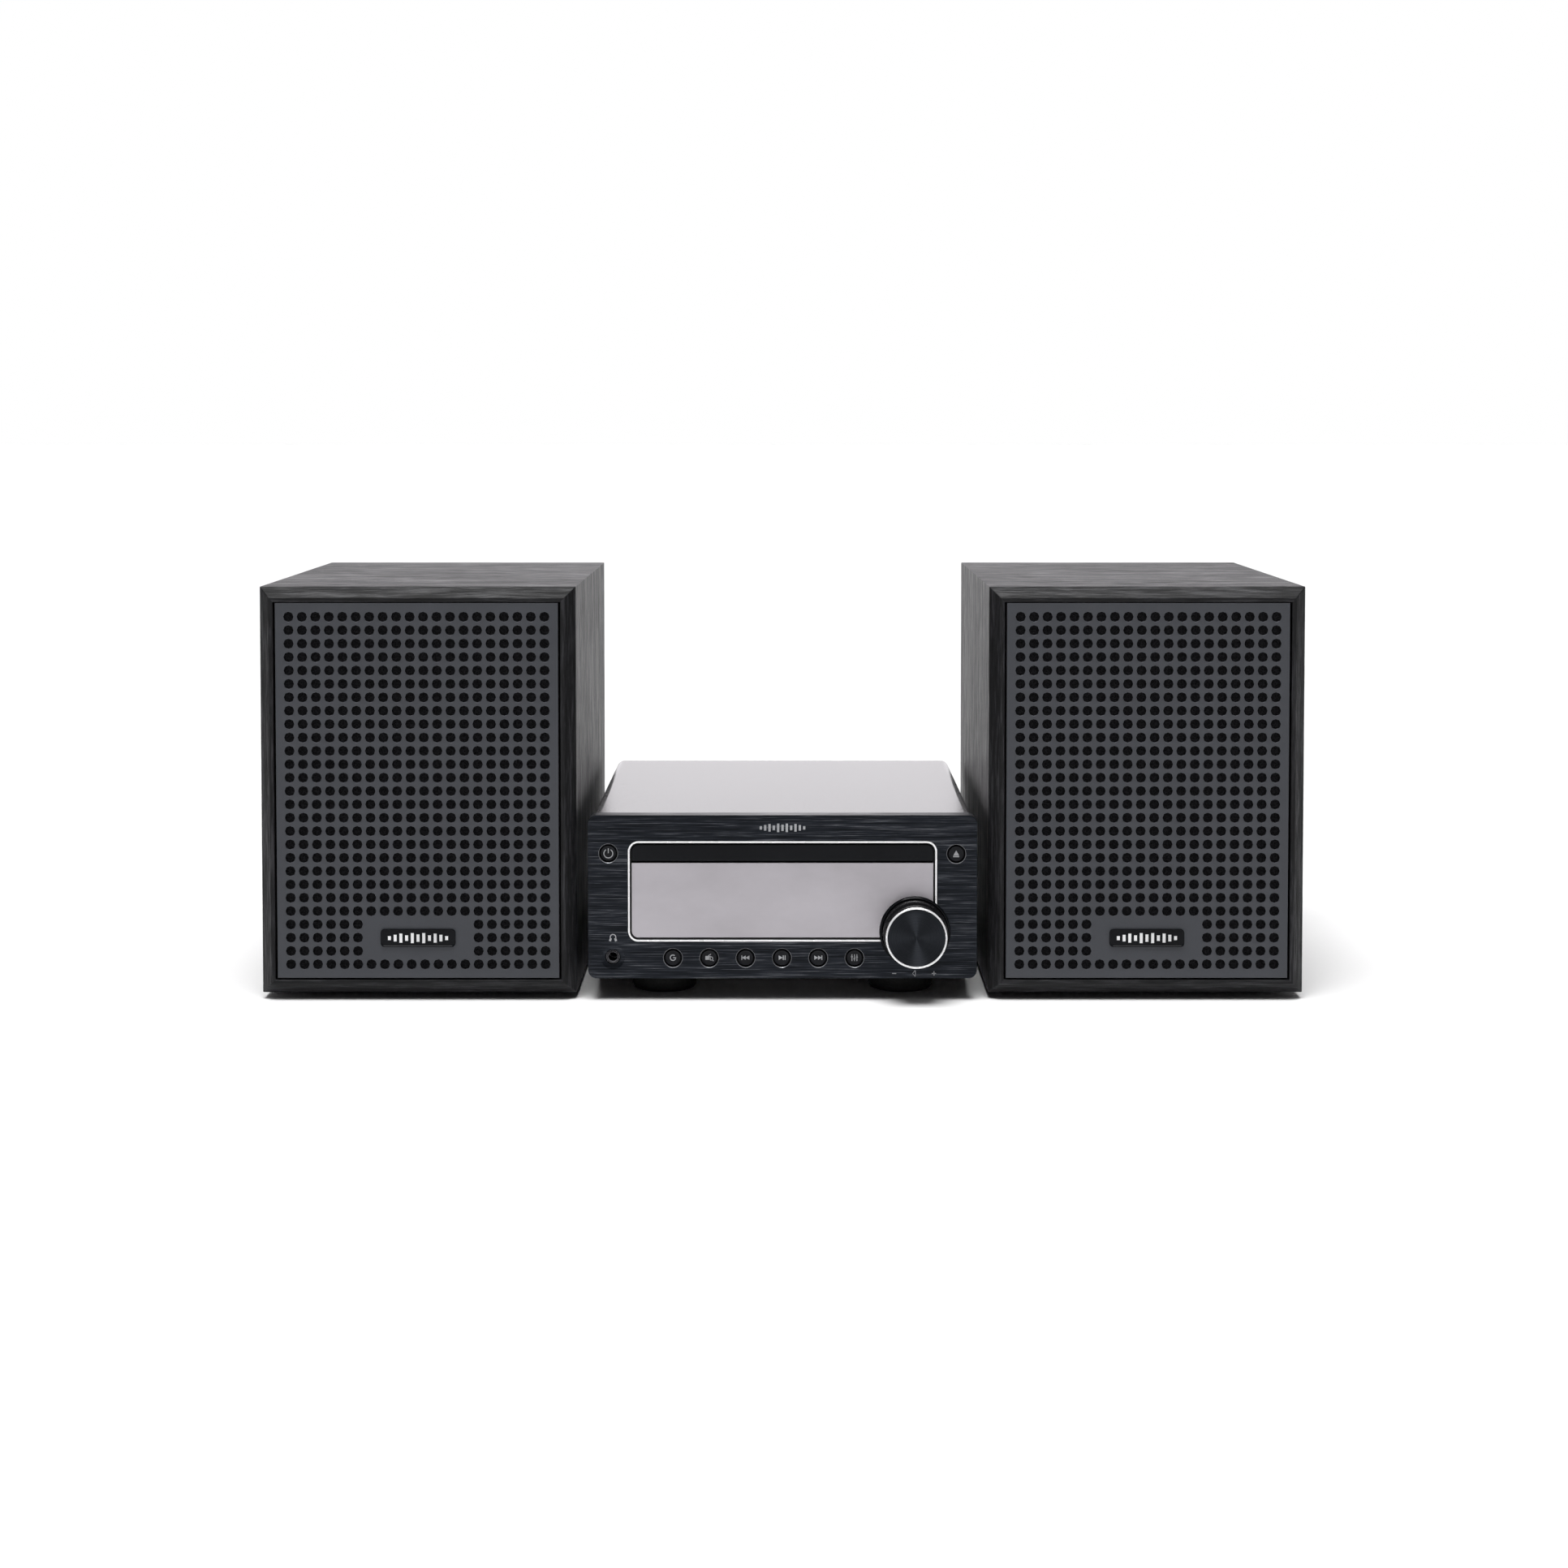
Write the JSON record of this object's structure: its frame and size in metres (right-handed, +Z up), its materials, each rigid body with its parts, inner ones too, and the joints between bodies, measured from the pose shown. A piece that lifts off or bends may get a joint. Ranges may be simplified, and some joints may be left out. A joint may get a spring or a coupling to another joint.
{
  "type": "mini hifi system",
  "caption": "Compact stereo receiver with a disc drawer, a volume knob and push buttons, between two bookshelf speakers with pull-off metal grilles.",
  "frame": {"origin": "centre of the footprint, on the surface that the receiver and both speakers stand on", "axes": "+X to the listener's right, +Y from the fronts towards the backs, +Z up"},
  "size_m": [0.483, 0.2148, 0.192],
  "materials": {
    "black_aluminium": "black anodised, brushed along its length",
    "polished_trim": "polished",
    "display_glass": "mirror-coated acrylic",
    "gloss_black": "gloss black",
    "turned_black_metal": "spun, with a diamond-cut ring",
    "button_black": "satin",
    "satin_cover": "satin grey paint",
    "black_steel": "fine texture paint",
    "bare_steel": "zinc plated",
    "bare_aluminium": "extruded",
    "matte_black": "fine texture",
    "grey_plastic": "moulded",
    "pale_plastic": "acetal",
    "circuit_board": "solder resist",
    "foot_rubber": "matte",
    "black_ash": "black ash vinyl on fibreboard",
    "grille_metal": "satin dark grey, perforated",
    "grille_foam": "open-cell foam",
    "paper_cone": "pressed paper pulp"
  },
  "bodies": {
    "receiver": {"front_panel": "black_aluminium", "window_trim": "polished_trim", "display_lens": "display_glass", "display_module": "grey_plastic", "knob_collar": "gloss_black", "control_board": "circuit_board", "headphone_socket": "matte_black", "chassis_base": "bare_steel", "top_cover": "satin_cover", "rear_panel": "black_steel", "main_board": "circuit_board", "power_board": "circuit_board", "heat_sink": "bare_aluminium", "mains_inlet": "matte_black", "antenna_socket": "bare_steel", "phono_sockets": "matte_black", "loader_frame": "matte_black", "tray_motor": "bare_steel", "clamp_bridge": "bare_steel", "sled_deck": "bare_steel", "front_left_foot": "foot_rubber", "front_right_foot": "foot_rubber", "rear_left_foot": "foot_rubber", "rear_right_foot": "foot_rubber"},
    "disc_drawer": {"disc_tray": "matte_black", "tray_door": "gloss_black"},
    "drawer_pinion": {"tray_pinion": "pale_plastic"},
    "disc_spindle": {"spindle_platter": "grey_plastic"},
    "laser_sled": {"laser_pickup": "grey_plastic"},
    "volume_control": {"volume_knob": "turned_black_metal"},
    "power_key": {"power_button": "button_black"},
    "eject_key": {"eject_button": "button_black"},
    "source_key": {"source_button": "button_black"},
    "tuner_key": {"tuner_button": "button_black"},
    "previous_key": {"previous_button": "button_black"},
    "play_pause_key": {"play_pause_button": "button_black"},
    "next_key": {"next_button": "button_black"},
    "equaliser_key": {"equaliser_button": "button_black"},
    "left_speaker": {"left_cabinet": "black_ash", "left_baffle": "matte_black", "left_woofer_frame": "black_steel", "left_tweeter": "matte_black", "left_port_tube": "matte_black", "left_terminal_cup": "matte_black", "left_front_foot_strip": "foot_rubber", "left_rear_foot_strip": "foot_rubber"},
    "left_grille_set": {"left_grille": "grille_metal", "left_grille_foam": "grille_foam"},
    "left_cone": {"left_woofer_cone": "paper_cone"},
    "right_speaker": {"right_cabinet": "black_ash", "right_baffle": "matte_black", "right_woofer_frame": "black_steel", "right_tweeter": "matte_black", "right_port_tube": "matte_black", "right_terminal_cup": "matte_black", "right_front_foot_strip": "foot_rubber", "right_rear_foot_strip": "foot_rubber"},
    "right_grille_set": {"right_grille": "grille_metal", "right_grille_foam": "grille_foam"},
    "right_cone": {"right_woofer_cone": "paper_cone"}
  },
  "joints": [
    {"name": "drawer_slide", "type": "slide", "parent": "receiver", "child": "disc_drawer", "axis": [0, -1, 0], "range_m": [0, 0.13]},
    {"name": "drawer_pinion_spin", "type": "hinge", "parent": "receiver", "child": "drawer_pinion", "pos_m": [-0.044, -0.0686, 0.0647], "axis": [0, 0, 1], "range_deg": [0, 835]},
    {"name": "disc_spin", "type": "hinge", "parent": "receiver", "child": "disc_spindle", "pos_m": [0, -0.0196, 0.062], "axis": [0, 0, 1], "continuous": true},
    {"name": "laser_travel", "type": "slide", "parent": "receiver", "child": "laser_sled", "axis": [0, 1, 0], "range_m": [0, 0.036]},
    {"name": "volume_turn", "type": "hinge", "parent": "receiver", "child": "volume_control", "pos_m": [0.0613, -0.0926, 0.0322], "axis": [0, -1, 0], "continuous": true},
    {"name": "power_press", "type": "slide", "parent": "receiver", "child": "power_key", "axis": [0, 1, 0], "range_m": [0, 0.0008], "stiffness_N_per_m": 400, "springref_m": -0.0005},
    {"name": "eject_press", "type": "slide", "parent": "receiver", "child": "eject_key", "axis": [0, 1, 0], "range_m": [0, 0.0008], "stiffness_N_per_m": 400, "springref_m": -0.0005},
    {"name": "source_press", "type": "slide", "parent": "receiver", "child": "source_key", "axis": [0, 1, 0], "range_m": [0, 0.0008], "stiffness_N_per_m": 400, "springref_m": -0.0005},
    {"name": "tuner_press", "type": "slide", "parent": "receiver", "child": "tuner_key", "axis": [0, 1, 0], "range_m": [0, 0.0008], "stiffness_N_per_m": 400, "springref_m": -0.0005},
    {"name": "previous_press", "type": "slide", "parent": "receiver", "child": "previous_key", "axis": [0, 1, 0], "range_m": [0, 0.0008], "stiffness_N_per_m": 400, "springref_m": -0.0005},
    {"name": "play_pause_press", "type": "slide", "parent": "receiver", "child": "play_pause_key", "axis": [0, 1, 0], "range_m": [0, 0.0008], "stiffness_N_per_m": 400, "springref_m": -0.0005},
    {"name": "next_press", "type": "slide", "parent": "receiver", "child": "next_key", "axis": [0, 1, 0], "range_m": [0, 0.0008], "stiffness_N_per_m": 400, "springref_m": -0.0005},
    {"name": "equaliser_press", "type": "slide", "parent": "receiver", "child": "equaliser_key", "axis": [0, 1, 0], "range_m": [0, 0.0008], "stiffness_N_per_m": 400, "springref_m": -0.0005},
    {"name": "left_speaker_place", "type": "slide", "parent": "receiver", "child": "left_speaker", "axis": [-1, 0, 0], "range_m": [0, 0.25]},
    {"name": "left_grille_pull", "type": "slide", "parent": "left_speaker", "child": "left_grille_set", "axis": [0, -1, 0], "range_m": [0, 0.05]},
    {"name": "left_cone_stroke", "type": "slide", "parent": "left_speaker", "child": "left_cone", "axis": [0, -1, 0], "range_m": [-0.002, 0.002], "stiffness_N_per_m": 1200},
    {"name": "right_speaker_place", "type": "slide", "parent": "receiver", "child": "right_speaker", "axis": [1, 0, 0], "range_m": [0, 0.25]},
    {"name": "right_grille_pull", "type": "slide", "parent": "right_speaker", "child": "right_grille_set", "axis": [0, -1, 0], "range_m": [0, 0.05]},
    {"name": "right_cone_stroke", "type": "slide", "parent": "right_speaker", "child": "right_cone", "axis": [0, -1, 0], "range_m": [-0.002, 0.002], "stiffness_N_per_m": 1200}
  ],
  "couplings": [
    {"joint": "drawer_pinion_spin", "follows": "drawer_slide", "rad_per_m": 111.11}
  ]
}
